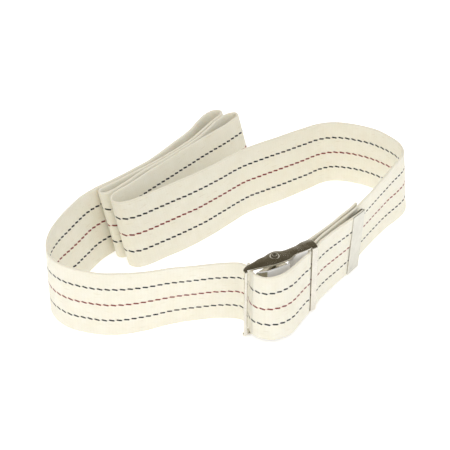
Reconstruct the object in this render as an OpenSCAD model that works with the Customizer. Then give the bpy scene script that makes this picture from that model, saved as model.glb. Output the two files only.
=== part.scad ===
// Buckled webbing transfer belt, standing on its lower edge as a closed loop.
// +Z is up, the floor is z = 0, the origin is the middle of the footprint.

/* [Webbing] */
// Width of the cotton webbing, edge to edge
web_w = 50.8; // [49.5:0.1:50.9]
// Thickness of the cotton webbing
web_t = 1.8; // [1.4:0.1:1.9]
// Cross-sections drawn between two neighbouring route points
web_steps = 3; // [2:1:4]

/* [Buckle frame] */
// Thickness of the pressed sheet steel
sheet_t = 1.5; // [1.2:0.1:1.6]
// Height of the frame over both ears
frame_h = 54.4; // [54:0.1:55]
// Length of the frame from the left bar to the right bar
frame_l = 58; // [57.5:0.1:58.4]
// Width of the left bar that the teeth press against
left_bar_w = 2.4; // [2:0.1:3]
// Width of the right bar that the free end passes behind
right_bar_w = 4.5; // [4:0.1:4.8]
// Radius of the rear cross bar held by the sewn end
anchor_r = 1.5; // [1.2:0.05:1.5]

/* [Cam lever] */
// Radius of the pivot rivet shank
pin_r = 1.5; // [1.3:0.05:1.6]
// Radius of the rivet heads
head_r = 3.2; // [2.6:0.1:3.6]
// Height of each rivet head
head_h = 0.8; // [0.5:0.1:0.8]
// Running clearance of the lever on the rivet, on the radius
run_gap = 0.06; // [0.03:0.01:0.1]
// Number of teeth on the lever
teeth_n = 14; // [8:1:18]
// Length of each tooth
tooth_l = 1.3; // [0.8:0.1:1.5]

/* [Belt tip] */
// Length of the crimped metal tip
tip_l = 16; // [11:0.5:16]
// Thickness of the metal of the tip
tip_wall = 0.6; // [0.4:0.1:0.8]

/* [Hidden] */
$fn = 48;

cream = [0.93, 0.90, 0.82];
steel = [0.72, 0.72, 0.72];
thread = [0.96, 0.95, 0.90];

// The route is laid out round a floor point near the middle; these bring the
// middle of the finished footprint to the origin.
shift_x = -7.5;
shift_y = 26.5;

// Buckle position: front face of the left bar, turned anticlockwise from +X
bk_x = 13.3;
bk_y = -137.4;
bk_a = 31.5;
bk_z = 0.8;
lift_bk = bk_z + (frame_h - web_w) / 2;

// Folded stack: its own direction, t along the layers and n across them
stk_a = 44.5;

// A point of the buckle (u along the frame, v out of its front face)
function bku(u, v) = [bk_x + u * cos(bk_a) + v * sin(bk_a), bk_y + u * sin(bk_a) - v * cos(bk_a)];
// Route entries: [x, y, top offset x, top offset y, height of the lower edge]
function bk(u, v, l = 0) = [bku(u, v)[0], bku(u, v)[1], l * sin(bk_a), -l * cos(bk_a), lift_bk];
function st(t, n, l = 17) = [t * cos(stk_a) - n * sin(stk_a), t * sin(stk_a) + n * cos(stk_a),
    -l * sin(stk_a), l * cos(stk_a), 0];

// Rear cross bar and the webbing eye round it
anc_u = 54.6;
anc_v = -7.85;
anc = bku(anc_u, anc_v);
tip_s = 0.45;
eye_r = anchor_r + 0.15 + web_t / 2;
eye_a = 51;
function eye(a) = [anc[0] + eye_r * cos(eye_a + a), anc[1] + eye_r * sin(eye_a + a), 0, 0, lift_bk];

// Middle line of the webbing from the metal tip round to the sewn end
tail_pts = [
    [97.4, -51.2, 2.5, -4, 0.4], [93.2, -57.2, 2.5, -3.6, 0.7], [88, -64.6, 2.6, -2.8, 1.1],
    [82.6, -72.3, 2.6, -1.8, 1.5], [76.6, -80.6, 2, -1.5, 1.9], [70.6, -88.7, 1.5, -1, 2.2],
    [65.3, -96.6, 0.5, -0.5, 2.5], bk(58, -3.2)];
loop_pts = [
    bk(54.6, -3.15), bk(52.5, -2.3), bk(51.7, -0.4), bk(50, 1.5, -0.5), bk(46, 3.2, -1.5), bk(38, 7.4, -3),
    bk(30, 11.4, -4), bk(22, 13.3, -3.5), bk(14.4, 12.5, -2), bk(9.1, 9.4), bk(6.4, 5.2), bk(5.4, 1.4)];
slot_pts = [bk(5.9, -2.2), bk(7.6, -6.4), bk(8.9, -10.8), [15.5, -124.5, 0, -3, 2.3]];
front_pts = [
    [10, -120.3, 0, -5, 2], [-4, -119, 0, -6.5, 1.4], [-21, -121, 1, -6.5, 0.7],
    [-37, -124, 1.5, -5, 0.3], [-53, -129, 1, -3, 0], [-69, -132.5, 0, -0.5, 0],
    [-82, -132.5, -0.5, 0.5, 0], [-94, -129.5, -1, 1.5, 0]];
left_pts = [
    [-104, -125.5, -1.5, 2.5, 0], [-112, -119.5, -1, 1.5, 0], [-118, -111, -1, 1, 0],
    [-120.4, -101, -1, 1, 0], [-119.3, -90, -3.5, 1.5, 0], [-115, -78, -8, 3.5, 0]];
layer_1_pts = [
    [-108.5, -65, -13, 7.5, 0], st(-110, 34.5), st(-96, 39), st(-82, 40.5), st(-66, 40.2),
    st(-48, 40.2), st(-30, 41.2)];
loop_a_pts = [
    st(-12, 44.2), st(4, 48), st(20, 51.5), st(36, 57.5), st(46, 60.5), st(55, 60.5),
    st(59, 57), st(56, 53.2), st(47, 50.8)];
layer_2_pts = [st(34, 47.5), st(18, 42.5), st(0, 39.6), st(-20, 38), st(-42, 37), st(-62, 37)];
fold_c_pts = [st(-75, 37.2, 18), st(-81, 36.8, 18), st(-83.6, 34, 18), st(-81.5, 30.8, 18)];
layer_3_pts = [st(-75, 29.8, 17.5), st(-62, 31), st(-42, 34), st(-20, 35.4), st(0, 37.1)];
loop_b_pts = [
    st(18, 39.8), st(34, 44.2), st(47, 48.4), st(59, 49.6), st(65.5, 46.5), st(63, 42)];
layer_4_pts = [st(52, 39.6), st(36, 38), st(18, 36.6), st(0, 34.6), st(-20, 32.3), st(-42, 30)];
fold_d_pts = [
    st(-62, 27.4), st(-75, 26.2), st(-81.5, 24), st(-84.6, 19.5), st(-83.2, 14.8), st(-78, 11.5)];
back_pts = [
    st(-70, 9.6, 16.5), st(-58, 8.2, 16), st(-40, 6.4, 16), st(-22, 4.6, 14), st(-2, 4.6, 12),
    [14, 21, -7, 7.5, 0], [28, 31, -5.5, 8, 0], [42.5, 40.5, -5.5, 8, 0], [61, 53, -5, 6.5, 0]];
right_pts = [
    [72, 60.5, -3, 5, 0], [82.5, 63.5, -0.5, 3, 0], [93, 62.3, 0.5, 2, 0], [103, 58.8, 0.5, 1.5, 0],
    [112, 54, 1, 1.5, 0], [121, 46.5, 0, 1, 0], [130, 36.5, -2, 0, 0], [134, 25.5, -4, -1, 0],
    [132.3, 16.5, -3.5, 0.5, 0]];
anchor_pts = [
    [127.5, 8, -2, 1, 0], [120, -3.2, 0, 0, 0], [110.5, -18.7, 1.5, -1, 0], [102, -34, 2.5, -1.5, 0.5],
    [91, -53.5, 2.5, -1.5, 1.2], [82.2, -66.2, 2, -1.2, 1.7], [74.2, -77.8, 1.4, -0.9, 2],
    [67, -87.8, 0.9, -0.6, 2.3], [61.8, -96.4, 0.3, -0.2, 2.5]];
eye_pts = [eye(-90), eye(-135), eye(-180), eye(-225), eye(-270)];
turn_pts = [
    [59.2, -93, 0.3, -0.2, 2.5], [65, -85, 0.9, -0.6, 2.3], [72.4, -75.4, 1.4, -0.9, 2],
    [80.4, -64, 2, -1.2, 1.7], [86.6, -54.6, 2.5, -1.5, 1.4], [91, -47.7, 2.5, -1.5, 1.2]];

route = concat(tail_pts, loop_pts, slot_pts, front_pts, left_pts, layer_1_pts, loop_a_pts,
    layer_2_pts, fold_c_pts, layer_3_pts, loop_b_pts, layer_4_pts, fold_d_pts, back_pts,
    right_pts, anchor_pts, eye_pts, turn_pts);
last = len(route) - 1;
// Route index where each stretch begins
i_loop = len(tail_pts);
i_slot = i_loop + len(loop_pts);
i_front = i_slot + len(slot_pts);
i_left = i_front + len(front_pts);
i_l1 = i_left + len(left_pts);
i_la = i_l1 + len(layer_1_pts);
i_l2 = i_la + len(loop_a_pts);
i_fc = i_l2 + len(layer_2_pts);
i_l3 = i_fc + len(fold_c_pts);
i_lb = i_l3 + len(layer_3_pts);
i_l4 = i_lb + len(loop_b_pts);
i_fd = i_l4 + len(layer_4_pts);
i_back = i_fd + len(fold_d_pts);
i_right = i_back + len(back_pts);
i_anchor = i_right + len(right_pts);
i_eye = i_anchor + len(anchor_pts);
i_turn = i_eye + len(eye_pts);

// Smooth curve through the route points, spaced by the root of their distance
function pick(i) = i < 0 ? 2 * route[0] - route[1] : i > last ? 2 * route[last] - route[last - 1] : route[i];
function gap(a, b) = sqrt(max(0.01, norm([b[0] - a[0], b[1] - a[1]])));
function mix(a, b, ta, tb, t) = ((tb - t) * a + (t - ta) * b) / (tb - ta);
function curve(s) =
    let (i = min(last - 1, max(0, floor(s))), f = s - i,
         p0 = pick(i - 1), p1 = pick(i), p2 = pick(i + 1), p3 = pick(i + 2),
         t1 = gap(p0, p1), t2 = t1 + gap(p1, p2), t3 = t2 + gap(p2, p3), t = t1 + f * (t2 - t1),
         a1 = mix(p0, p1, 0, t1, t), a2 = mix(p1, p2, t1, t2, t), a3 = mix(p2, p3, t2, t3, t),
         b1 = mix(a1, a2, 0, t2, t), b2 = mix(a2, a3, t1, t3, t))
    mix(b1, b2, t1, t2, t);
function heading(s) =
    let (a = curve(max(0, s - 0.02)), b = curve(min(last, s + 0.02)), d = [b[0] - a[0], b[1] - a[1]])
    d / norm(d);

// Four corners of the webbing's cross-section at route position s
function section(s, t) =
    let (c = curve(s), d = heading(s), h = [-d[1], d[0]] * t / 2, o = [c[2], c[3]] / 2,
         z0 = c[4], z1 = c[4] + sqrt(web_w * web_w - c[2] * c[2] - c[3] * c[3]),
         m = [c[0] + shift_x, c[1] + shift_y])
    [concat(m - o - h, z0), concat(m - o + h, z0), concat(m + o + h, z1), concat(m + o - h, z1)];

// A length of webbing between two route positions
module strip(s0, s1, t = web_t, e = 0.012) {
    n = max(2, round((s1 - s0) * web_steps));
    pos = [for (k = [0 : n]) let (f = k / n) (s0 + e) * (1 - f) + (s1 - e) * f];
    pts = [for (s = pos) each section(s, t)];
    sides = [for (k = [0 : n - 1], j = [0 : 3]) let (a = 4 * k + j, b = 4 * k + (j + 1) % 4)
        each [[a, b, b + 4], [a, b + 4, a + 4]]];
    polyhedron(points = pts, faces = concat([[0, 2, 1], [0, 3, 2]], sides,
        [[4 * n, 4 * n + 1, 4 * n + 2], [4 * n, 4 * n + 2, 4 * n + 3]]));
}

// Places its children in the buckle's own frame (x = u, y = -v)
module at_buckle() {
    translate([bk_x + shift_x, bk_y + shift_y, bk_z]) rotate([0, 0, bk_a]) children();
}

module webbing_tail() { color(cream) strip(tip_s + 0.12, i_loop - 1, e = 0.02); }
module webbing_buckle_loop() { color(cream) strip(i_loop - 0.9, i_slot); }
module webbing_slot_run() { color(cream) strip(i_slot, i_front); }
module webbing_front_run() { color(cream) strip(i_front, i_left); }
module webbing_left_turn() { color(cream) strip(i_left, i_l1); }
module webbing_layer_1() { color(cream) strip(i_l1, i_la); }
module webbing_loop_a() { color(cream) strip(i_la, i_l2); }
module webbing_layer_2() { color(cream) strip(i_l2, i_fc); }
module webbing_fold_c() { color(cream) strip(i_fc, i_l3); }
module webbing_layer_3() { color(cream) strip(i_l3, i_lb); }
module webbing_loop_b() { color(cream) strip(i_lb, i_l4); }
module webbing_layer_4() { color(cream) strip(i_l4, i_fd); }
module webbing_fold_d() { color(cream) strip(i_fd, i_back); }
module webbing_back_run() { color(cream) strip(i_back, i_right); }
module webbing_right_turn() { color(cream) strip(i_right, i_anchor); }
module webbing_anchor_run() { color(cream) strip(i_anchor, i_eye); }
module webbing_anchor_eye() { color(cream) strip(i_eye, i_turn); }
module webbing_turn_back() { color(cream) strip(i_turn, last); }

// Folded sheet tip closed over the cut end of the webbing
module belt_tip() {
    c = curve(tip_s);
    d = heading(tip_s + 0.05);
    lean = asin((c[3] * d[0] - c[2] * d[1]) / web_w);
    w = web_t / 2 + 0.42;
    color(steel)
    translate([c[0] - c[2] / 2 + shift_x, c[1] - c[3] / 2 + shift_y, c[4]])
    rotate([0, 0, atan2(d[1], d[0])])
    rotate([-lean, 0, 0])
    translate([-1, 0, -0.1])
    linear_extrude(web_w)
    polygon([[0, -w - tip_wall], [tip_l, -w - tip_wall], [tip_l, -w], [tip_wall, -w],
        [tip_wall, w], [tip_l, w], [tip_l, w + tip_wall], [0, w + tip_wall]]);
}

// Rectangle of lock stitching that closes the sewn end round the rear cross bar
module anchor_stitching() {
    c = curve(i_turn + 3.2);
    d = heading(i_turn + 3.2);
    color(thread)
    translate([c[0] - c[2] / 2 + shift_x, c[1] - c[3] / 2 + shift_y, c[4]])
    rotate([0, 0, atan2(d[1], d[0])])
    rotate([-asin((c[3] * d[0] - c[2] * d[1]) / web_w), 0, 0])
    translate([0, web_t / 2 + 0.62, 0])
    translate([0, 0, web_w / 2])
    rotate([90, 0, 0])
    linear_extrude(0.3) difference() {
        square([14, 44], center = true);
        square([12.6, 42.6], center = true);
    }
}

// One of the two ears, seen along the height
module ear() {
    linear_extrude(sheet_t) difference() {
        polygon([[0, 0], [0.2, 3.2], [3.4, 5.6], [11.9, 7.4], [14.8, 8.5], [20.3, 8.9], [24, 10.2],
            [27.9, 10.9], [30.7, 10.3], [33.5, 8.4], [36.6, 8], [45.2, 8.4], [50, 10],
            [frame_l - 1, 10.2], [frame_l + 0.6, 8.8], [frame_l + 0.6, 3], [frame_l, 0],
            [38, 0], [36, -1.6], [33.5, -2.6], [24, -2.8], [18, -2], [10, 0]]);
        translate([26.6, 5.7]) circle(r = pin_r);
        translate([anc_u, -anc_v]) circle(r = anchor_r);
    }
}

// Pressed channel frame: two ears joined by the left bar, a cross plate and the right bar
module buckle_frame() {
    color(steel) at_buckle() {
        ear();
        translate([0, 0, frame_h - sheet_t]) ear();
        linear_extrude(frame_h) square([left_bar_w, sheet_t]);
        linear_extrude(frame_h) polygon([[36.6, 4.6], [36.8, 2.6], [38, 0.8], [39.8, 0], [49.8, 0],
            [49.8, sheet_t], [40.4, sheet_t], [39.2, 2], [38.3, 3.2], [38.1, 4.6]]);
        translate([frame_l - right_bar_w, 0]) linear_extrude(frame_h) square([right_bar_w, sheet_t]);
    }
}

// Toothed lever: front plate with a toothed nose and two cheeks on the rivet
cam_z0 = 4;
cam_h = frame_h - 2 * cam_z0;
module cam_lever() {
    color(steel) at_buckle() {
        translate([0, 0, cam_z0]) linear_extrude(cam_h)
            polygon([[8.6, 0.3], [9.4, -0.8], [16, -2.9], [33, -3.2], [33.7, -2.5], [33.2, -1.8],
                [16.4, -1.4], [9.6, 1.1]]);
        for (z = [cam_z0, cam_z0 + cam_h - sheet_t]) translate([0, 0, z])
            linear_extrude(sheet_t) difference() {
                polygon([[9, 0.4], [16.2, -2.2], [32.6, -2.4], [31.4, 3], [30.6, 7], [28.6, 9],
                    [26, 9.4], [23.4, 8.4], [21.6, 5.8], [16, 2.4]]);
                translate([26.6, 5.7]) circle(r = pin_r + run_gap);
            }
        // row of teeth facing the left bar
        pitch = (cam_h - 2) / teeth_n;
        translate([0, 0.95, cam_z0]) rotate([90, 0, 0]) linear_extrude(1.1)
            polygon(concat([[9.6, 1]], [for (k = [0 : teeth_n - 1]) each
                [[8.7, 1 + k * pitch], [8.7 - tooth_l, 1 + (k + 0.5) * pitch]]],
                [[8.7, 1 + teeth_n * pitch], [9.6, 1 + teeth_n * pitch]]));
    }
}

// Rivet through both ears, with a head outside each
module pivot_rivet() {
    color(steel) at_buckle() translate([26.6, 5.7, 0]) {
        translate([0, 0, -head_h]) cylinder(r = pin_r, h = frame_h + 2 * head_h);
        translate([0, 0, -head_h]) cylinder(r = head_r, h = head_h);
        translate([0, 0, frame_h]) cylinder(r = head_r, h = head_h);
    }
}

// Straight cross bar held between the ears
module anchor_bar() {
    color(steel) at_buckle() translate([anc_u, -anc_v, 0])
        cylinder(r = anchor_r, h = frame_h);
}

webbing_tail();
belt_tip();
webbing_buckle_loop();
webbing_slot_run();
webbing_front_run();
webbing_left_turn();
webbing_layer_1();
webbing_loop_a();
webbing_layer_2();
webbing_fold_c();
webbing_layer_3();
webbing_loop_b();
webbing_layer_4();
webbing_fold_d();
webbing_back_run();
webbing_right_turn();
webbing_anchor_run();
webbing_anchor_eye();
webbing_turn_back();
anchor_stitching();
buckle_frame();
cam_lever();
pivot_rivet();
anchor_bar();
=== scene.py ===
import math
import bmesh
import bpy
import numpy as np
from mathutils import Vector, Matrix


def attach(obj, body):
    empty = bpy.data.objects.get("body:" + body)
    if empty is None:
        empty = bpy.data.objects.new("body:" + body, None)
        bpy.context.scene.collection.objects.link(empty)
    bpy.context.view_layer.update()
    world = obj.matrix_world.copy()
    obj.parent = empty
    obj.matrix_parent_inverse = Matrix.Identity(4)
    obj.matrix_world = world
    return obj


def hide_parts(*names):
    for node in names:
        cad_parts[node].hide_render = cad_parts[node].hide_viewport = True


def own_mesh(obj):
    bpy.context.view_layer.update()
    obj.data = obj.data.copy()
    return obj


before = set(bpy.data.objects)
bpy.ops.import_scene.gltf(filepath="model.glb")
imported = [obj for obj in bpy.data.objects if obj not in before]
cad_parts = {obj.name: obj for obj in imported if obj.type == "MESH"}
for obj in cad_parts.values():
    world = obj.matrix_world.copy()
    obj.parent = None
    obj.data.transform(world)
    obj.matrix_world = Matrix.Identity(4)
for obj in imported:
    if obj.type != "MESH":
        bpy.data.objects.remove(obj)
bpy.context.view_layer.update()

MM = 0.001

# ---------------------------------------------------------------- route (mm)
web_w, web_t = 50.8, 1.8
frame_h, frame_l, sheet_t = 54.4, 58.0, 1.5
shift = np.array([-7.5, 26.5])
bk_x, bk_y, bk_a, bk_z = 13.3, -137.4, math.radians(31.5), 0.8
lift_bk = bk_z + (frame_h - web_w) / 2
stk_a = math.radians(44.5)
CU = np.array([math.cos(bk_a), math.sin(bk_a)])
CV = np.array([math.sin(bk_a), -math.cos(bk_a)])


def bku(u, v):
    return np.array([bk_x, bk_y]) + u * CU + v * CV


def bk(u, v, l=0.0):
    p = bku(u, v)
    return [p[0], p[1], l * CV[0], l * CV[1], lift_bk]


def st(t, n, l=17.0):
    c, s = math.cos(stk_a), math.sin(stk_a)
    return [t * c - n * s, t * s + n * c, -l * s, l * c, 0]


anc_u, anc_v = 54.6, -7.85
anchor_r = 1.5
eye_r = anchor_r + 0.15 + web_t / 2
eye_a = math.radians(51)


def eye(a):
    c = bku(anc_u, anc_v)
    a = math.radians(a) + eye_a
    return [c[0] + eye_r * math.cos(a), c[1] + eye_r * math.sin(a), 0, 0, lift_bk]


PARTS = [
    ("tail", [
        [97.4, -51.2, 2.5, -4, 0.4], [93.2, -57.2, 2.5, -3.6, 0.7], [88, -64.6, 2.6, -2.8, 1.1],
        [82.6, -72.3, 2.6, -1.8, 1.5], [76.6, -80.6, 2, -1.5, 1.9], [70.6, -88.7, 1.5, -1, 2.2],
        [65.3, -96.6, 0.5, -0.5, 2.5], bk(58, -3.2)]),
    ("loop", [
        bk(54.6, -3.15), bk(52.5, -2.3), bk(51.7, -0.4), bk(50, 1.5, -0.5), bk(46, 3.2, -1.5), bk(38, 7.4, -3),
        bk(30, 11.4, -4), bk(22, 13.3, -3.5), bk(14.4, 12.5, -2), bk(9.1, 9.4), bk(6.4, 5.2), bk(5.4, 1.4)]),
    ("slot", [bk(5.9, -2.2), bk(7.6, -6.4), bk(8.9, -10.8), [15.5, -124.5, 0, -3, 2.3]]),
    ("front", [
        [10, -120.3, 0, -5, 2], [-4, -119, 0, -6.5, 1.4], [-21, -121, 1, -6.5, 0.7],
        [-37, -124, 1.5, -5, 0.3], [-53, -129, 1, -3, 0], [-69, -132.5, 0, -0.5, 0],
        [-82, -132.5, -0.5, 0.5, 0], [-94, -129.5, -1, 1.5, 0]]),
    ("left", [
        [-104, -125.5, -1.5, 2.5, 0], [-112, -119.5, -1, 1.5, 0], [-118, -111, -1, 1, 0],
        [-120.4, -101, -1, 1, 0], [-119.3, -90, -3.5, 1.5, 0], [-115, -78, -8, 3.5, 0]]),
    ("layer_1", [
        [-108.5, -65, -13, 7.5, 0], st(-110, 34.5), st(-96, 39), st(-82, 40.5), st(-66, 40.2),
        st(-48, 40.2), st(-30, 41.2)]),
    ("loop_a", [
        st(-12, 44.2), st(4, 48), st(20, 51.5), st(36, 57.5), st(46, 60.5), st(55, 60.5),
        st(59, 57), st(56, 53.2), st(47, 50.8)]),
    ("layer_2", [st(34, 47.5), st(18, 42.5), st(0, 39.6), st(-20, 38), st(-42, 37), st(-62, 37)]),
    ("fold_c", [st(-75, 37.2, 18), st(-81, 36.8, 18), st(-83.6, 34, 18), st(-81.5, 30.8, 18)]),
    ("layer_3", [st(-75, 29.8, 17.5), st(-62, 31), st(-42, 34), st(-20, 35.4), st(0, 37.1)]),
    ("loop_b", [
        st(18, 39.8), st(34, 44.2), st(47, 48.4), st(59, 49.6), st(65.5, 46.5), st(63, 42)]),
    ("layer_4", [st(52, 39.6), st(36, 38), st(18, 36.6), st(0, 34.6), st(-20, 32.3), st(-42, 30)]),
    ("fold_d", [
        st(-62, 27.4), st(-75, 26.2), st(-81.5, 24), st(-84.6, 19.5), st(-83.2, 14.8), st(-78, 11.5)]),
    ("back", [
        st(-70, 9.6, 16.5), st(-58, 8.2, 16), st(-40, 6.4, 16), st(-22, 4.6, 14), st(-2, 4.6, 12),
        [14, 21, -7, 7.5, 0], [28, 31, -5.5, 8, 0], [42.5, 40.5, -5.5, 8, 0], [61, 53, -5, 6.5, 0]]),
    ("right", [
        [72, 60.5, -3, 5, 0], [82.5, 63.5, -0.5, 3, 0], [93, 62.3, 0.5, 2, 0], [103, 58.8, 0.5, 1.5, 0],
        [112, 54, 1, 1.5, 0], [121, 46.5, 0, 1, 0], [130, 36.5, -2, 0, 0], [134, 25.5, -4, -1, 0],
        [132.3, 16.5, -3.5, 0.5, 0]]),
    ("anchor", [
        [127.5, 8, -2, 1, 0], [120, -3.2, 0, 0, 0], [110.5, -18.7, 1.5, -1, 0], [102, -34, 2.5, -1.5, 0.5],
        [91, -53.5, 2.5, -1.5, 1.2], [82.2, -66.2, 2, -1.2, 1.7], [74.2, -77.8, 1.4, -0.9, 2],
        [67, -87.8, 0.9, -0.6, 2.3], [61.8, -96.4, 0.3, -0.2, 2.5]]),
    ("eye", [eye(-90), eye(-135), eye(-180), eye(-225), eye(-270)]),
    ("turn", [
        [59.2, -93, 0.3, -0.2, 2.5], [65, -85, 0.9, -0.6, 2.3], [72.4, -75.4, 1.4, -0.9, 2],
        [80.4, -64, 2, -1.2, 1.7], [86.6, -54.6, 2.5, -1.5, 1.4], [91, -47.7, 2.5, -1.5, 1.2]]),
]
ROUTE, START = [], {}
for name, pts in PARTS:
    START[name] = len(ROUTE)
    ROUTE += [list(p) for p in pts]
ROUTE = np.array(ROUTE, float)
LAST = len(ROUTE) - 1


def pick(i):
    if i < 0:
        return 2 * ROUTE[0] - ROUTE[1]
    if i > LAST:
        return 2 * ROUTE[LAST] - ROUTE[LAST - 1]
    return ROUTE[i]


def gap(a, b):
    return math.sqrt(max(0.01, math.hypot(b[0] - a[0], b[1] - a[1])))


def mix(a, b, ta, tb, t):
    return ((tb - t) * a + (t - ta) * b) / (tb - ta)


def curve(s):
    i = min(LAST - 1, max(0, math.floor(s)))
    f = s - i
    p0, p1, p2, p3 = pick(i - 1), pick(i), pick(i + 1), pick(i + 2)
    t1 = gap(p0, p1)
    t2 = t1 + gap(p1, p2)
    t3 = t2 + gap(p2, p3)
    t = t1 + f * (t2 - t1)
    a1, a2, a3 = mix(p0, p1, 0, t1, t), mix(p1, p2, t1, t2, t), mix(p2, p3, t2, t3, t)
    b1, b2 = mix(a1, a2, 0, t2, t), mix(a2, a3, t1, t3, t)
    return mix(b1, b2, t1, t2, t)


# one dense table of the route, then everything is looked up by arc length
S = np.arange(0, LAST + 1e-9, 0.02)
C = np.array([curve(s) for s in S])
ARC = np.concatenate([[0], np.cumsum(np.hypot(*np.diff(C[:, :2], axis=0).T))])
TOTAL = ARC[-1]


def arc_of(s):
    return float(np.interp(s, S, ARC))


def at_arc(a):
    """Route entry and plan heading at arc length a (mm)."""
    q = np.array([np.interp(a, ARC, C[:, k]) for k in range(5)])
    h0, h1 = max(0, a - 0.35), min(TOTAL, a + 0.35)
    d = np.array([np.interp(h1, ARC, C[:, k]) - np.interp(h0, ARC, C[:, k]) for k in range(2)])
    return q, d / np.hypot(*d)


def wave(a, w, seed=0.0):
    """Slight unevenness of soft webbing, mm across its face."""
    e = (2 * w / web_w - 1)
    return (0.16 * math.sin(a / 13.7 + 1.3 + seed) * e
            + 0.10 * math.sin(a / 7.9 + 0.4 + seed) * e * e
            + 0.07 * math.sin(a / 5.3 + 2.1 + 3 * e + seed)
            + 0.05 * math.sin(a / 3.1 + 5 * e))


def surf(a, w, h, fade=1.0):
    """Point of the webbing: arc length a, width position w (0 bottom edge), h off the middle surface (mm)."""
    q, d = at_arc(a)
    n = np.array([-d[1], d[0]])
    f = w / web_w
    z1 = math.sqrt(web_w ** 2 - q[2] ** 2 - q[3] ** 2)
    off = h + fade * wave(a, w)
    p = q[:2] + np.array([q[2], q[3]]) * (f - 0.5) + n * off + shift
    return (p[0] * MM, p[1] * MM, (q[4] + z1 * f) * MM)


# ------------------------------------------------------------------ helpers
def new_obj(name, verts, faces, smooth=True):
    me = bpy.data.meshes.new(name)
    me.from_pydata([tuple(v) for v in verts], [], faces)
    me.validate(clean_customdata=False)
    me.update()
    ob = bpy.data.objects.new(name, me)
    bpy.context.scene.collection.objects.link(ob)
    for p in me.polygons:
        p.use_smooth = smooth
    return ob


def fix_normals(ob):
    bm = bmesh.new()
    bm.from_mesh(ob.data)
    bmesh.ops.recalc_face_normals(bm, faces=bm.faces)
    bm.to_mesh(ob.data)
    bm.free()


def apply_all(ob):
    dg = bpy.context.evaluated_depsgraph_get()
    dg.update()
    ev = ob.evaluated_get(dg)
    me = bpy.data.meshes.new_from_object(ev, depsgraph=dg)
    old = ob.data
    ob.modifiers.clear()
    ob.data = me
    if old.users == 0:
        bpy.data.meshes.remove(old)
    return ob


def ribbon(name, a0, a1, t=web_t, step=1.1, ends=True, taper0=0.0, taper1=0.0):
    """Webbing from arc a0 to a1 with rounded selvedges. UV = (arc, width) in 0.1 m."""
    hh = t / 2
    prof = [(0.0, 0.0), (0.12, 0.55), (0.5, 0.88), (1.2, 1.0)]
    ws = [p[0] for p in prof] + [2.6 + (web_w - 5.2) * k / 14 for k in range(15)] + [web_w - p[0] for p in reversed(prof)]
    es = [p[1] for p in prof] + [1.0] * 15 + [p[1] for p in reversed(prof)]
    loop = [(w, e * hh) for w, e in zip(ws, es)] + [(w, -e * hh) for w, e in list(zip(ws, es))[-2:0:-1]]
    n = max(2, int(round((a1 - a0) / step)))
    verts, uv, side = [], [], []
    for k in range(n + 1):
        a = a0 + (a1 - a0) * k / n
        g = 1.0
        for (w, h) in loop:
            verts.append(surf(a, w, h * g))
            uv.append((a / 100, w / 100))
            side.append((0.5 + 0.5 * h / hh, 0.0))
    m = len(loop)
    faces = [(k * m + j, k * m + (j + 1) % m, (k + 1) * m + (j + 1) % m, (k + 1) * m + j)
             for k in range(n) for j in range(m)]
    # end caps as strips between the two faces
    top = len(ws)
    def cap(base, flip):
        out = []
        fr = list(range(0, top))
        bk_ = [0] + [m - j for j in range(1, top - 1)] + [top - 1]
        for j in range(top - 1):
            quad = [base + fr[j], base + fr[j + 1], base + bk_[j + 1], base + bk_[j]]
            quad = list(dict.fromkeys(quad))
            out.append(tuple(reversed(quad)) if flip else tuple(quad))
        return out
    faces += cap(0, True) + cap(n * m, False)
    ob = new_obj(name, verts, faces)
    lay = ob.data.uv_layers.new(name="UVMap")
    for l in ob.data.loops:
        lay.data[l.index].uv = uv[l.vertex_index]
    lay = ob.data.uv_layers.new(name="FaceSide")
    for l in ob.data.loops:
        lay.data[l.index].uv = side[l.vertex_index]
    fix_normals(ob)
    return ob


# ------------------------------------------------------------------ materials
class G:
    """Small helper that builds a node material."""

    def __init__(self, name):
        self.m = bpy.data.materials.new(name)
        self.m.use_nodes = True
        self.t = self.m.node_tree
        self.t.nodes.clear()
        self.out = self.n("ShaderNodeOutputMaterial")
        self.b = self.n("ShaderNodeBsdfPrincipled")
        self.t.links.new(self.b.outputs[0], self.out.inputs["Surface"])

    def n(self, kind, **kw):
        x = self.t.nodes.new(kind)
        for k, v in kw.items():
            setattr(x, k, v)
        return x

    def link(self, a, b):
        self.t.links.new(a, b)

    def val(self, sock, v):
        if hasattr(v, "links") or isinstance(v, bpy.types.NodeSocket):
            self.link(v, sock)
        else:
            sock.default_value = v

    def math(self, op, a, b=None, c=None, clamp=False):
        x = self.n("ShaderNodeMath", operation=op, use_clamp=clamp)
        self.val(x.inputs[0], a)
        if b is not None:
            self.val(x.inputs[1], b)
        if c is not None:
            self.val(x.inputs[2], c)
        return x.outputs[0]

    def ramp(self, v, lo, hi, a=0.0, b=1.0):
        x = self.n("ShaderNodeMapRange", interpolation_type="SMOOTHSTEP", clamp=True)
        self.val(x.inputs["Value"], v)
        x.inputs["From Min"].default_value = lo
        x.inputs["From Max"].default_value = hi
        x.inputs["To Min"].default_value = a
        x.inputs["To Max"].default_value = b
        return x.outputs["Result"]

    def noise(self, vec, scale, detail=2.0, rough=0.5):
        x = self.n("ShaderNodeTexNoise")
        if vec is not None:
            self.link(vec, x.inputs["Vector"])
        x.inputs["Scale"].default_value = scale
        x.inputs["Detail"].default_value = detail
        x.inputs["Roughness"].default_value = rough
        return x.outputs["Fac"]

    def mixc(self, f, a, b):
        x = self.n("ShaderNodeMix", data_type="RGBA")
        self.val(x.inputs["Factor"], f)
        for s, v in ((6, a), (7, b)):
            if isinstance(v, (tuple, list)):
                x.inputs[s].default_value = (*v, 1.0)
            else:
                self.link(v, x.inputs[s])
        return x.outputs[2]


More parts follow.
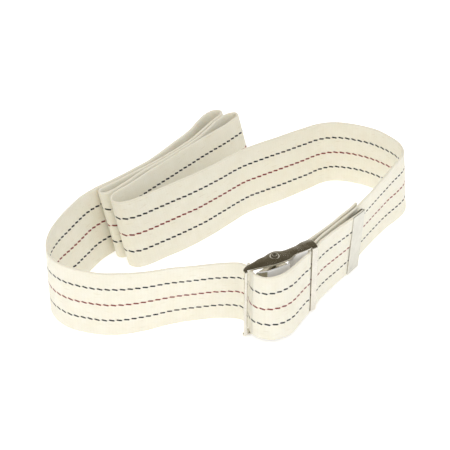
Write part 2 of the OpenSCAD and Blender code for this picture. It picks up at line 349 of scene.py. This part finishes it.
def webbing_material():
    g = G("webbing_cotton")
    uvn = g.n("ShaderNodeUVMap", uv_map="UVMap")
    sep = g.n("ShaderNodeSeparateXYZ")
    g.link(uvn.outputs["UV"], sep.inputs[0])
    u = g.math("MULTIPLY", sep.outputs["X"], 100.0)
    v = g.math("MULTIPLY", sep.outputs["Y"], 100.0)
    uvs = g.n("ShaderNodeUVMap", uv_map="FaceSide")
    seps = g.n("ShaderNodeSeparateXYZ")
    g.link(uvs.outputs["UV"], seps.inputs[0])
    face = g.math("SUBTRACT", g.math("MULTIPLY", seps.outputs["X"], 2.0), 1.0)
    tc = g.n("ShaderNodeTexCoord")
    obj = tc.outputs["Object"]
    comb = g.n("ShaderNodeCombineXYZ")
    g.link(u, comb.inputs[0])
    g.link(v, comb.inputs[1])
    uvmm = comb.outputs[0]
    fine = g.noise(uvmm, 1.3, 2.0, 0.6)
    mid = g.noise(uvmm, 0.11, 3.0, 0.6)
    big = g.noise(obj, 14.0, 3.0, 0.55)
    # plain weave: fine warp yarns, picks across, every other yarn half a pick along
    vw = g.math("ADD", v, g.math("MULTIPLY", g.math("SUBTRACT", fine, 0.5), 0.22))
    uw = g.math("ADD", u, g.math("MULTIPLY", g.math("SUBTRACT", fine, 0.5), 0.30))
    vv = g.math("DIVIDE", vw, 0.66)
    row = g.math("FLOOR", vv)
    half = g.math("MULTIPLY", g.math("MODULO", row, 2.0), 0.5)
    uu = g.math("ADD", g.math("DIVIDE", uw, 1.12), half)
    fx = g.math("SUBTRACT", g.math("MULTIPLY", g.math("FRACT", uu), 2.0), 1.0)
    fy = g.math("SUBTRACT", g.math("MULTIPLY", g.math("FRACT", vv), 2.0), 1.0)
    hx = g.math("SUBTRACT", 1.0, g.math("POWER", g.math("ABSOLUTE", fx), 2.6))
    hy = g.math("SUBTRACT", 1.0, g.math("MULTIPLY", fy, fy))
    weave = g.math("SQRT", g.math("MULTIPLY", hx, hy))
    # filling picks show as faint ribs across the tape
    rib = g.math("SINE", g.math("MULTIPLY", uw, 2.82))
    rib = g.math("ADD", g.math("MULTIPLY", rib, 0.5), 0.5)
    # fibres drawn out along the warp
    stretch = g.n("ShaderNodeMapping")
    stretch.inputs["Scale"].default_value = (0.5, 3.2, 1.0)
    g.link(uvmm, stretch.inputs["Vector"])
    fibre = g.noise(stretch.outputs[0], 1.0, 3.0, 0.7)
    # dashes of three woven-in coloured yarns
    pitch, half_len = 5.0, 1.22
    masks, lines = [], []
    for vc, ph in ((12.7, 0.10), (25.4, 0.43), (38.1, 0.72)):
        t = g.math("SUBTRACT", g.math("FRACT", g.math("ADD", g.math("DIVIDE", u, pitch), ph)), 0.5)
        wob = g.math("MULTIPLY", g.math("SUBTRACT", fine, 0.5), 0.30)
        slant = g.math("MULTIPLY", g.math("MULTIPLY", t, face), -0.95)
        dv = g.math("ADD", g.math("ADD", g.math("SUBTRACT", v, vc), slant), wob)
        du = g.math("MAXIMUM", g.math("SUBTRACT", g.math("MULTIPLY", g.math("ABSOLUTE", t), pitch), half_len), 0.0)
        d = g.math("SQRT", g.math("ADD", g.math("MULTIPLY", dv, dv), g.math("MULTIPLY", du, du)))
        masks.append(g.ramp(d, 0.55, 0.72, 1.0, 0.0))
        lines.append(g.ramp(g.math("ABSOLUTE", g.math("ADD", g.math("SUBTRACT", v, vc), wob)), 0.30, 0.55, 1.0, 0.0))
    lo, red, hi = masks
    blue = g.math("MAXIMUM", lo, hi)
    dash = g.math("MAXIMUM", blue, red)
    # cotton colour
    base = g.mixc(g.ramp(mid, 0.35, 0.68), (0.875, 0.842, 0.715), (0.905, 0.878, 0.765))
    base = g.mixc(g.ramp(big, 0.35, 0.75, 0.0, 0.28), base, (0.84, 0.795, 0.655))
    base = g.mixc(g.ramp(weave, 0.05, 0.8, 0.34, 0.0), base, (0.72, 0.66, 0.51))
    base = g.mixc(g.ramp(fibre, 0.40, 0.75, 0.0, 0.22), base, (0.93, 0.90, 0.82))
    base = g.mixc(g.math("MULTIPLY", rib, 0.10), base, (0.78, 0.73, 0.60))
    # slubs: odd thicker or darker yarn fibres
    slub = g.ramp(g.noise(stretch.outputs[0], 0.28, 1.0, 0.4), 0.66, 0.74, 0.0, 0.35)
    base = g.mixc(slub, base, (0.70, 0.62, 0.47))
    edge = g.math("MINIMUM", v, g.math("SUBTRACT", web_w, v))
    base = g.mixc(g.ramp(edge, 0.0, 1.1, 0.30, 0.0), base, (0.66, 0.58, 0.43))
    base = g.mixc(g.math("MULTIPLY", lines[1], 0.50), base, (0.78, 0.40, 0.33))
    base = g.mixc(g.math("MULTIPLY", g.math("MAXIMUM", lines[0], lines[2]), 0.28), base, (0.40, 0.42, 0.46))
    navy = g.mixc(fibre, (0.002, 0.002, 0.005), (0.013, 0.014, 0.021))
    crim = g.mixc(fibre, (0.13, 0.008, 0.009), (0.26, 0.026, 0.024))
    base = g.mixc(g.math("MULTIPLY", blue, 0.98), base, navy)
    base = g.mixc(g.math("MULTIPLY", red, 0.96), base, crim)
    g.link(base, g.b.inputs["Base Color"])
    rough = g.ramp(fibre, 0.2, 0.8, 0.78, 0.95)
    g.link(rough, g.b.inputs["Roughness"])
    g.b.inputs["Specular IOR Level"].default_value = 0.22
    g.b.inputs["Sheen Weight"].default_value = 0.12
    g.b.inputs["Subsurface Weight"].default_value = 0.22
    g.b.inputs["Subsurface Radius"].default_value = (1.0, 0.85, 0.6)
    g.b.inputs["Subsurface Scale"].default_value = 0.0016
    g.b.inputs["Sheen Roughness"].default_value = 0.6
    h = g.math("ADD", g.math("MULTIPLY", weave, 0.8), g.math("MULTIPLY", fibre, 0.35))
    h = g.math("ADD", h, g.math("MULTIPLY", dash, 0.5))
    selv = g.math("MULTIPLY", g.ramp(edge, 0.6, 2.2, 1.0, 0.0), 0.5)
    h = g.math("ADD", h, selv)
    bump = g.n("ShaderNodeBump")
    bump.inputs["Strength"].default_value = 0.55
    bump.inputs["Distance"].default_value = 0.00022
    g.link(h, bump.inputs["Height"])
    g.link(bump.outputs[0], g.b.inputs["Normal"])
    return g.m


def thread_material():
    g = G("stitch_thread")
    tc = g.n("ShaderNodeTexCoord")
    w = g.n("ShaderNodeTexWave", wave_type="BANDS", bands_direction="DIAGONAL")
    g.link(tc.outputs["Object"], w.inputs["Vector"])
    w.inputs["Scale"].default_value = 900
    w.inputs["Distortion"].default_value = 0.4
    col = g.mixc(g.ramp(w.outputs["Fac"], 0.2, 0.8), (0.70, 0.64, 0.52), (0.93, 0.90, 0.82))
    g.link(col, g.b.inputs["Base Color"])
    g.b.inputs["Roughness"].default_value = 0.7
    g.b.inputs["Sheen Weight"].default_value = 0.2
    bump = g.n("ShaderNodeBump")
    bump.inputs["Strength"].default_value = 0.6
    bump.inputs["Distance"].default_value = 0.0002
    g.link(w.outputs["Fac"], bump.inputs["Height"])
    g.link(bump.outputs[0], g.b.inputs["Normal"])
    return g.m


def metal_material(name, dark, light, r0, r1, scratch=0.25, cast=(0.80, 0.77, 0.70), metallic=1.0):
    g = G(name)
    tc = g.n("ShaderNodeTexCoord")
    obj = tc.outputs["Object"]
    mp = g.n("ShaderNodeMapping")
    mp.inputs["Scale"].default_value = (1.0, 1.0, 14.0)
    mp.inputs["Rotation"].default_value = (0.3, 0.9, 0.5)
    g.link(obj, mp.inputs["Vector"])
    fine = g.noise(mp.outputs[0], 900.0, 3.0, 0.6)
    blot = g.noise(obj, 160.0, 4.0, 0.6)
    spots = g.noise(obj, 1200.0, 2.0, 0.5)
    col = g.mixc(g.ramp(blot, 0.3, 0.7), dark, light)
    col = g.mixc(g.ramp(spots, 0.66, 0.78, 0.0, 0.35), col, tuple(0.6 * c for c in dark))
    # worn brighter edges
    geo = g.n("ShaderNodeNewGeometry")
    wear = g.ramp(geo.outputs["Pointiness"], 0.505, 0.56, 0.0, 0.6)
    col = g.mixc(wear, col, cast)
    g.link(col, g.b.inputs["Base Color"])
    g.b.inputs["Metallic"].default_value = metallic
    rough = g.math("ADD", g.ramp(blot, 0.25, 0.8, r0, r1), g.math("MULTIPLY", g.ramp(fine, 0.55, 0.8), scratch))
    g.link(rough, g.b.inputs["Roughness"])
    bump = g.n("ShaderNodeBump")
    bump.inputs["Strength"].default_value = 0.12
    bump.inputs["Distance"].default_value = 0.0001
    g.link(g.math("ADD", fine, g.math("MULTIPLY", blot, 1.5)), bump.inputs["Height"])
    g.link(bump.outputs[0], g.b.inputs["Normal"])
    return g.m


M_WEB = webbing_material()
M_THREAD = thread_material()
M_NICKEL = metal_material("nickel_plate", (0.60, 0.57, 0.50), (0.70, 0.67, 0.60), 0.15, 0.26, 0.12)
# painted reflection: a near-white, almost non-metallic copy of the nickel, standing in for the bright cream webbing
# that the flat plates reflect
M_PAINTED_REFLECTION = metal_material("nickel_painted_reflection", (0.88, 0.865, 0.86), (0.94, 0.925, 0.92), 0.34, 0.46, 0.10, (0.95, 0.94, 0.92), 0.04)
M_TIP = metal_material("tip_plate", (0.60, 0.585, 0.52), (0.68, 0.665, 0.60), 0.30, 0.42, 0.10, (0.76, 0.74, 0.68))


def paint(ob, mat):
    ob.data.materials.clear()
    ob.data.materials.append(mat)


# ------------------------------------------------------------------ webbing
BODY_NODES = ["webbing_slot_run", "webbing_front_run", "webbing_left_turn", "webbing_layer_1", "webbing_loop_a",
              "webbing_layer_2", "webbing_fold_c", "webbing_layer_3", "webbing_loop_b", "webbing_layer_4",
              "webbing_fold_d", "webbing_back_run", "webbing_right_turn", "webbing_anchor_run",
              "webbing_anchor_eye", "webbing_turn_back"]

PLANE_V = 1.2


def arc_where_v(s_lo, s_hi, target):
    """Arc length where the route crosses v = target between two route indexes."""
    best = None
    for s in np.arange(s_lo, s_hi, 0.004):
        q = curve(s)
        v = (np.array(q[:2]) - np.array([bk_x, bk_y])) @ CV
        if best is None or abs(v - target) < best[0]:
            best = (abs(v - target), s)
    return arc_of(best[1])


A_EXIT = arc_where_v(START["loop"] + 2, START["loop"] + 3, PLANE_V)
A_ENTRY = arc_where_v(START["loop"] + 10, START["loop"] + 12, PLANE_V)
TIP_S = 0.45
A_TAIL0 = arc_of(TIP_S + 0.12)
A_TAIL1 = arc_of(START["loop"] - 1)

web_main = ribbon("webbing_main", A_ENTRY, TOTAL)
web_arch = ribbon("webbing_arch", A_EXIT, A_ENTRY)
web_exit = ribbon("webbing_exit", A_TAIL1 - 13.8, A_EXIT, t=1.72)
web_tail = ribbon("webbing_free_end", A_TAIL0, A_TAIL1 + 0.2)
for ob in (web_main, web_arch, web_exit, web_tail):
    paint(ob, M_WEB)
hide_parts(*BODY_NODES)
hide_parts("webbing_buckle_loop")
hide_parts("webbing_tail")


# ------------------------------------------------------------------ buckle
def loc(u, v, z):
    """Buckle-frame mm to world metres."""
    p = bku(u, v) + shift
    return (p[0] * MM, p[1] * MM, (bk_z + z) * MM)


def prism(name, poly, z0, z1, bevel=0.3, seg=3):
    """Upright prism over a plan outline in buckle coordinates (u, v)."""
    n = len(poly)
    verts = [loc(u, v, z0) for u, v in poly] + [loc(u, v, z1) for u, v in poly]
    faces = [tuple(range(n - 1, -1, -1)), tuple(range(n, 2 * n))]
    faces += [(i, (i + 1) % n, n + (i + 1) % n, n + i) for i in range(n)]
    ob = new_obj(name, verts, faces, smooth=True)
    fix_normals(ob)
    if bevel:
        m = ob.modifiers.new("b", "BEVEL")
        m.width = bevel * MM
        m.segments = seg
        m.limit_method = "ANGLE"
        m.angle_limit = math.radians(28)
        m.use_clamp_overlap = True
        apply_all(ob)
    return ob


def round_poly(poly, r, n=5):
    """Rounds the corners of a plan outline."""
    out = []
    k = len(poly)
    for i in range(k):
        p0, p1, p2 = (np.array(poly[(i + j) % k], float) for j in (-1, 0, 1))
        a, b = p0 - p1, p2 - p1
        la, lb = np.hypot(*a), np.hypot(*b)
        d = min(r, 0.45 * la, 0.45 * lb)
        s, e = p1 + a / la * d, p1 + b / lb * d
        for j in range(n + 1):
            t = j / n
            out.append(tuple((1 - t) ** 2 * s + 2 * t * (1 - t) * p1 + t * t * e))
    return out


def band(name, u0, u1, z0, z1, r_out=2.1, t=sheet_t, depth=6.0, bevel=0.28):
    """A bar that bends back into both ears: a C profile in (v, z), as wide as the bar."""
    outer, inner = [], []
    r_in = max(0.35, r_out - t)
    n = 8
    for zc, sgn in ((z1, 1), (z0, -1)):
        cz = zc - sgn * r_out
        rng = range(n + 1)
        arc_o = [(-r_out + r_out * math.sin(math.pi / 2 * k / n), cz + sgn * r_out * math.cos(math.pi / 2 * k / n)) for k in rng]
        arc_i = [(-r_out + r_in * math.sin(math.pi / 2 * k / n), cz + sgn * r_in * math.cos(math.pi / 2 * k / n)) for k in rng]
        if sgn > 0:
            outer += [(-depth, z1)] + arc_o
            inner += [(-depth, z1 - t)] + arc_i
        else:
            outer += list(reversed(arc_o)) + [(-depth, z0)]
            inner += list(reversed(arc_i)) + [(-depth, z0 + t)]
    prof = outer + list(reversed(inner))
    m = len(prof)
    verts = [loc(u0, v, z) for v, z in prof] + [loc(u1, v, z) for v, z in prof]
    no = len(outer)
    faces = [(i, (i + 1) % m, m + (i + 1) % m, m + i) for i in range(m)]
    for base, flip in ((0, False), (m, True)):
        for i in range(no - 1):
            q = (base + i, base + i + 1, base + m - 2 - i, base + m - 1 - i)
            faces.append(tuple(reversed(q)) if flip else q)
    ob = new_obj(name, verts, faces, smooth=True)
    fix_normals(ob)
    mod = ob.modifiers.new("b", "BEVEL")
    mod.width = bevel * MM
    mod.segments = 3
    mod.limit_method = "ANGLE"
    mod.angle_limit = math.radians(50)
    apply_all(ob)
    return ob


def union(name, parts, mats):
    for p, mt in zip(parts, mats):
        paint(p, mt)
    base = parts[0]
    for p in parts[1:]:
        m = base.modifiers.new("u", "BOOLEAN")
        m.operation = "UNION"
        m.solver = "EXACT"
        m.material_mode = "TRANSFER"
        m.object = p
        apply_all(base)
        bpy.data.objects.remove(p, do_unlink=True)
    base.name = name
    for p in base.data.polygons:
        p.use_smooth = True
    return base


def sharpen(ob, deg=35):
    """Smooth shading with crisp real edges, kept in the mesh."""
    bm = bmesh.new()
    bm.from_mesh(ob.data)
    bmesh.ops.remove_doubles(bm, verts=bm.verts, dist=2e-7)
    for e in bm.edges:
        if len(e.link_faces) == 2:
            e.smooth = e.calc_face_angle(0) < math.radians(deg)
    bm.to_mesh(ob.data)
    bm.free()


EAR = [(0, 0), (0, -1.5), (3.8, -3.2), (11.9, -6.4), (14.8, -8.3), (20.3, -8.9), (24, -10.2), (27.9, -10.9),
       (30.7, -10.3), (33.5, -8.4), (36.6, -8), (45.2, -8.4), (50, -10), (57, -10.2), (58.6, -8.8), (58.6, -3), (58, 0)]
PU, PV = 26.6, -5.7
left_w, right_w = 2.4, 4.5


def ear_outline():
    # front edge recessed behind the bars' bends except at the bars themselves
    pts = [(0.1, -2.1), (0.4, -3.4), (3.4, -5.6), (11.9, -7.4), (14.8, -8.5), (20.3, -8.9), (24, -10.2), (27.9, -10.9),
           (30.7, -10.3), (33.5, -8.4), (36.6, -8), (45.2, -8.4), (50, -10), (57, -10.2), (58.6, -8.8),
           (58.6, -3), (57.9, -1.6), (54, -1.6), (52.5, -0.6), (49.5, -0.2), (39, -0.2), (36.2, 1.5), (33.5, 2.55), (24, 2.75), (18, 1.95), (10, -0.1), (6, -0.5), (2.3, -1.2)]
    return round_poly(pts, 1.5, 4)


ear_lo = prism("ear_lo", ear_outline(), 0, sheet_t, 0.3)
ear_hi = prism("ear_hi", ear_outline(), frame_h - sheet_t, frame_h, 0.3)
bar_l = band("bar_l", 0, left_w, 0, frame_h, depth=3.0)
bar_r = band("bar_r", frame_l - right_w, frame_l, 0, frame_h, depth=5.0)
plate = prism("plate", round_poly([(36.6, -4.6), (36.7, -2.6), (38, -0.8), (40.1, 0), (49.8, 0), (49.8, -1.5),
                                   (40.6, -1.5), (39.3, -2), (38.3, -3.2), (38.1, -4.6)], 0.9, 5), 0.7, frame_h - 0.7, 0.2)
# the cross plate gets the painted bright reflection copy of the nickel; the ears and bars keep the plain nickel
frame_ob = union("buckle_frame_formed", [ear_lo, ear_hi, bar_l, bar_r, plate],
                 [M_NICKEL] * 4 + [M_PAINTED_REFLECTION])
sharpen(frame_ob, 40)

# toothed lever
cam_z0 = 4.0
cam_h = frame_h - 2 * cam_z0
face = prism("cam_face", round_poly([(8.6, -0.3), (9.4, 0.8), (16, 2.9), (33, 3.2), (33.7, 2.5), (33.2, 1.8),
                                     (16.4, 1.4), (9.6, -1.1)], 0.8, 4), cam_z0, cam_z0 + cam_h, 0.25)
cheeks = []
for i, z in enumerate((cam_z0 + 0.13, cam_z0 + cam_h - sheet_t - 0.13)):
    cheeks.append(prism("cheek%d" % i, round_poly([(9.4, -0.6), (16.2, 2.2), (32.6, 2.4), (31.4, -3), (30.6, -7),
                                                   (28.6, -9), (26, -9.4), (23.4, -8.4), (21.6, -5.8), (16, -2.4)], 1.5, 4),
                        z, z + sheet_t, 0.2))
teeth_n = 14
tp = (cam_h - 2) / teeth_n
tv, tf = [], []
for k in range(teeth_n):
    z_a, z_b, z_m = cam_z0 + 1 + k * tp, cam_z0 + 1 + (k + 1) * tp, cam_z0 + 1 + (k + 0.5) * tp
    b = len(tv)
    for v in (-0.95, 0.15):
        tv += [loc(9.8, v, z_a + 0.08), loc(8.7, v, z_a + 0.08), loc(7.5, v * 0.6, z_m - 0.22),
               loc(7.4, v * 0.6, z_m + 0.22), loc(8.7, v, z_b - 0.08), loc(9.8, v, z_b - 0.08)]
    tf += [tuple(b + j for j in range(6)), tuple(b + 6 + j for j in reversed(range(6)))]
    tf += [(b + j, b + 6 + j, b + 6 + (j + 1) % 6, b + (j + 1) % 6) for j in range(6)]
teeth = new_obj("cam_teeth", tv, tf, smooth=True)
fix_normals(teeth)
# the lever's flat face gets the painted bright reflection copy of the nickel
cam_ob = union("cam_lever_formed", [face, cheeks[0], cheeks[1], teeth],
               [M_PAINTED_REFLECTION, M_NICKEL, M_NICKEL, M_NICKEL])
sharpen(cam_ob, 35)
# the bent nose keeps the plain nickel; only the flat of the lever gets the painted bright reflection
nickel_i = [i for i, mt in enumerate(cam_ob.data.materials) if mt == M_NICKEL][0]
for poly in cam_ob.data.polygons:
    c = np.array(poly.center[:2]) / MM - shift - np.array([bk_x, bk_y])
    if c @ CU < 15.6:
        poly.material_index = nickel_i


def lathe(name, prof, u, v, seg=48):
    """Revolves (r, z) mm about an upright axis at (u, v)."""
    c = bku(u, v) + shift
    verts, faces = [], []
    for r, z in prof:
        for k in range(seg):
            a = 2 * math.pi * k / seg
            verts.append(((c[0] + r * math.cos(a)) * MM, (c[1] + r * math.sin(a)) * MM, (bk_z + z) * MM))
    for i in range(len(prof) - 1):
        for k in range(seg):
            faces.append((i * seg + k, i * seg + (k + 1) % seg, (i + 1) * seg + (k + 1) % seg, (i + 1) * seg + k))
    faces.append(tuple(reversed(range(seg))))
    faces.append(tuple((len(prof) - 1) * seg + k for k in range(seg)))
    ob = new_obj(name, verts, faces)
    fix_normals(ob)
    return ob


H = frame_h
riv_prof = []
head = [(0.2, 0.30), (0.7, 0.34), (1.05, 0.52), (1.3, 0.80), (1.6, 1.02), (2.05, 1.08), (2.5, 0.98), (2.9, 0.70), (3.2, 0.34), (3.35, 0.12), (3.4, 0.02)]
riv_prof += [(r, -z) for r, z in head]
riv_prof += [(1.5, 0.02), (1.5, H - 0.02)]
riv_prof += [(r, H + z) for r, z in reversed(head)]
rivet = lathe("pivot_rivet_domed", riv_prof, PU, PV)
sharpen(rivet, 50)
bar_prof = [(0.2, 0.25), (1.15, 0.3), (1.45, 0.55), (1.5, 0.8), (1.5, H - 0.8), (1.45, H - 0.55), (1.15, H - 0.3), (0.2, H - 0.25)]
bar = lathe("anchor_bar_turned", bar_prof, anc_u, anc_v, 32)
for ob in (rivet, bar):
    paint(ob, M_NICKEL)
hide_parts("buckle_frame")
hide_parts("cam_lever")
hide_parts("pivot_rivet")
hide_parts("anchor_bar")

# ------------------------------------------------------------------ belt tip
def tip_piece():
    """Folded sheet closed over the end of the webbing, following it."""
    L, wi, wo = 14.4, web_t / 2 + 0.22, web_t / 2 + 0.82
    a_end = A_TAIL0 - 0.35
    rows = [0.0, 0.25, 0.8] + [2 + 46.8 * k / 12 for k in range(13)] + [50.0, 50.55, 50.8]
    def plan(a, h):
        q, d = at_arc(max(0.0, a))
        base = q[:2] + d * min(0.0, a)
        return base + np.array([-d[1], d[0]]) * h, q, d
    outline = []
    na = 12
    for k in range(na + 1):
        outline.append((a_end + L - L * k / na, wo))
    for k in range(1, 8):                      # rounded outer nose
        t = math.pi * k / 8
        outline.append((a_end - 0.9 * math.sin(t), wo * math.cos(t)))
    for k in range(na + 1):
        outline.append((a_end + L * k / na, -wo))
    inner = [(a_end + L - L * k / na, -wi) for k in range(na + 1)] + [(a_end + L * k / na, wi) for k in range(na + 1)]
    outline += inner
    no = len(outline)
    verts, faces = [], []
    for w in rows:
        f = w / web_w
        pinch = 1.0
        for a, h in outline:
            p, q, d = plan(a, h)
            z1 = math.sqrt(web_w ** 2 - q[2] ** 2 - q[3] ** 2)
            xy = p + np.array([q[2], q[3]]) * (f - 0.5) + shift
            verts.append((xy[0] * MM, xy[1] * MM, (q[4] + z1 * f) * MM))
    m = len(rows)
    for r in range(m - 1):
        for j in range(no):
            faces.append((r * no + j, r * no + (j + 1) % no, (r + 1) * no + (j + 1) % no, (r + 1) * no + j))
    faces.append(tuple(reversed(range(no))))
    faces.append(tuple((m - 1) * no + j for j in range(no)))
    ob = new_obj("belt_tip_crimped", verts, faces)
    fix_normals(ob)
    mod = ob.modifiers.new("b", "BEVEL")
    mod.width = 0.16 * MM
    mod.segments = 2
    mod.limit_method = "ANGLE"
    mod.angle_limit = math.radians(50)
    apply_all(ob)
    sharpen(ob, 40)
    return ob


tip = tip_piece()
paint(tip, M_TIP)
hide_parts("belt_tip")

# ------------------------------------------------------------------ stitching
def stitch_run(path, h, out, pitch=3.0, share=0.72, r=0.22):
    """Lock stitches along a list of (arc, width) corners on the webbing, h off its middle."""
    for (a0, w0), (a1, w1) in zip(path[:-1], path[1:]):
        length = math.hypot(a1 - a0, w1 - w0)
        n = max(1, int(round(length / pitch)))
        for k in range(n):
            f0, f1 = (k + (1 - share) / 2) / n, (k + 1 - (1 - share) / 2) / n
            pts = []
            for j in range(7):
                f = f0 + (f1 - f0) * j / 6
                bulge = math.sin(math.pi * j / 6)
                a, w = a0 + (a1 - a0) * f, w0 + (w1 - w0) * f
                pts.append((Vector(surf(a, w, h * (1 if bulge > 0.3 else 0.86))), r * (0.75 + 0.25 * bulge)))
            out.append(pts)


def stitches(name, runs):
    verts, faces = [], []
    seg = 6
    for pts in runs:
        base = len(verts)
        m = len(pts)
        for i, (p, r) in enumerate(pts):
            d = (pts[min(i + 1, m - 1)][0] - pts[max(i - 1, 0)][0]).normalized()
            x = d.cross(Vector((0.3, 0.2, 1))).normalized()
            y = d.cross(x)
            for k in range(seg):
                a = 2 * math.pi * k / seg
                verts.append(p + (x * math.cos(a) + y * math.sin(a)) * r * MM)
        for i in range(m - 1):
            for k in range(seg):
                faces.append((base + i * seg + k, base + i * seg + (k + 1) % seg,
                              base + (i + 1) * seg + (k + 1) % seg, base + (i + 1) * seg + k))
        faces.append(tuple(base + k for k in reversed(range(seg))))
        faces.append(tuple(base + (m - 1) * seg + k for k in range(seg)))
    ob = new_obj(name, verts, faces)
    fix_normals(ob)
    return ob


runs = []
t0, t1 = arc_of(START["turn"] + 2.4), TOTAL - 2.5
box = [(t0, 3), (t1, 3), (t1, 47.8), (t0, 47.8), (t0, 3)]
stitch_run(box, 1.02, runs)
stitch_run([(t0, 3), (t1, 47.8)], 1.02, runs)
stitch_run([(t0, 47.8), (t1, 3)], 1.02, runs)
sewing = stitches("anchor_lockstitch", runs)
paint(sewing, M_THREAD)
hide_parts("anchor_stitching")

# ------------------------------------------------------------------ bodies
for ob in (web_main, web_arch, web_exit, frame_ob, rivet, bar, sewing):
    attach(ob, "belt")
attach(cam_ob, "cam")
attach(web_tail, "tail")
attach(tip, "tail")
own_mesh(web_arch)

# ------------------------------------------------------------------ stage
target = Vector((shift[0] * MM, shift[1] * MM, 0))
floor = new_obj("floor", [(-3, -3, 0), (3, -3, 0), (3, 3, 0), (-3, 3, 0)], [(0, 1, 2, 3)], smooth=False)
floor.location = (0, 0, -0.0004)
g = G("floor_paper")
tc = g.n("ShaderNodeTexCoord")
grain = g.noise(tc.outputs["Object"], 300.0, 3.0, 0.5)
g.link(g.mixc(grain, (0.93, 0.93, 0.93), (0.955, 0.955, 0.955)), g.b.inputs["Base Color"])
g.b.inputs["Roughness"].default_value = 0.95
g.b.inputs["Specular IOR Level"].default_value = 0.0
g.b.inputs["Emission Color"].default_value = (1, 1, 1, 1)
g.b.inputs["Emission Strength"].default_value = 0.42
paint(floor, g.m)

cam_data = bpy.data.cameras.new("camera")
cam = bpy.data.objects.new("camera", cam_data)
bpy.context.scene.collection.objects.link(cam)
elev, dist = math.radians(34), 1.2
cam.location = target + Vector((0, -dist * math.cos(elev), dist * math.sin(elev)))
cam.rotation_euler = (target - cam.location).to_track_quat("-Z", "Y").to_euler()
cam_data.sensor_width = 36.0
cam_data.lens = 36.0 * 1.34 * 1200 / 450
cam_data.clip_end = 20
bpy.context.scene.camera = cam


def area(name, loc_, size, energy, color=(1, 1, 1), aim=None, glossy=True):
    l = bpy.data.lights.new(name, "AREA")
    l.shape = "SQUARE"
    l.size = size
    l.energy = energy
    l.color = color
    o = bpy.data.objects.new(name, l)
    bpy.context.scene.collection.objects.link(o)
    o.location = loc_
    o.rotation_euler = ((aim or Vector((0, 0, 0.02))) - o.location).to_track_quat("-Z", "Y").to_euler()
    if not glossy:
        o.visible_glossy = False
    return o


area("key", Vector((-0.7, -1.3, 1.3)), 1.1, 7.0, (1.0, 0.99, 0.97), glossy=False)
area("fill", Vector((1.3, -0.6, 0.9)), 1.2, 2.2, (0.98, 0.99, 1.0), glossy=False)
area("top", Vector((0.0, 0.3, 1.6)), 1.4, 3.0, (1, 1, 1), glossy=False)

# Soft white surround; mirror-like surfaces see a darker band high up behind the object
world = bpy.data.worlds.new("studio")
bpy.context.scene.world = world
world.use_nodes = True
nt = world.node_tree
nt.nodes.clear()
out = nt.nodes.new("ShaderNodeOutputWorld")
mixs = nt.nodes.new("ShaderNodeMixShader")
amb = nt.nodes.new("ShaderNodeBackground")
amb.inputs[0].default_value = (1, 1, 1, 1)
amb.inputs[1].default_value = 0.71
refl = nt.nodes.new("ShaderNodeBackground")
refl.inputs[1].default_value = 1.0
lp = nt.nodes.new("ShaderNodeLightPath")
tcw = nt.nodes.new("ShaderNodeTexCoord")
sep = nt.nodes.new("ShaderNodeSeparateXYZ")
nt.links.new(tcw.outputs["Generated"], sep.inputs[0])
rampz = nt.nodes.new("ShaderNodeValToRGB")
rampz.color_ramp.interpolation = "EASE"
els = rampz.color_ramp.elements
els[0].position, els[0].color = 0.0, (0.95, 0.95, 0.94, 1)
els[1].position, els[1].color = 1.0, (0.10, 0.09, 0.07, 1)
e = els.new(0.30); e.color = (0.85, 0.84, 0.80, 1)
e = els.new(0.42); e.color = (0.16, 0.135, 0.09, 1)
e = els.new(0.72); e.color = (0.10, 0.085, 0.055, 1)
nt.links.new(sep.outputs["Z"], rampz.inputs["Fac"])
nt.links.new(rampz.outputs[0], refl.inputs[0])
nt.links.new(lp.outputs["Is Glossy Ray"], mixs.inputs[0])
nt.links.new(amb.outputs[0], mixs.inputs[1])
nt.links.new(refl.outputs[0], mixs.inputs[2])
nt.links.new(mixs.outputs[0], out.inputs[0])

vs = bpy.context.scene.view_settings
vs.view_transform = "Standard"
vs.look = "None"
vs.exposure = 0.0
vs.gamma = 1.0
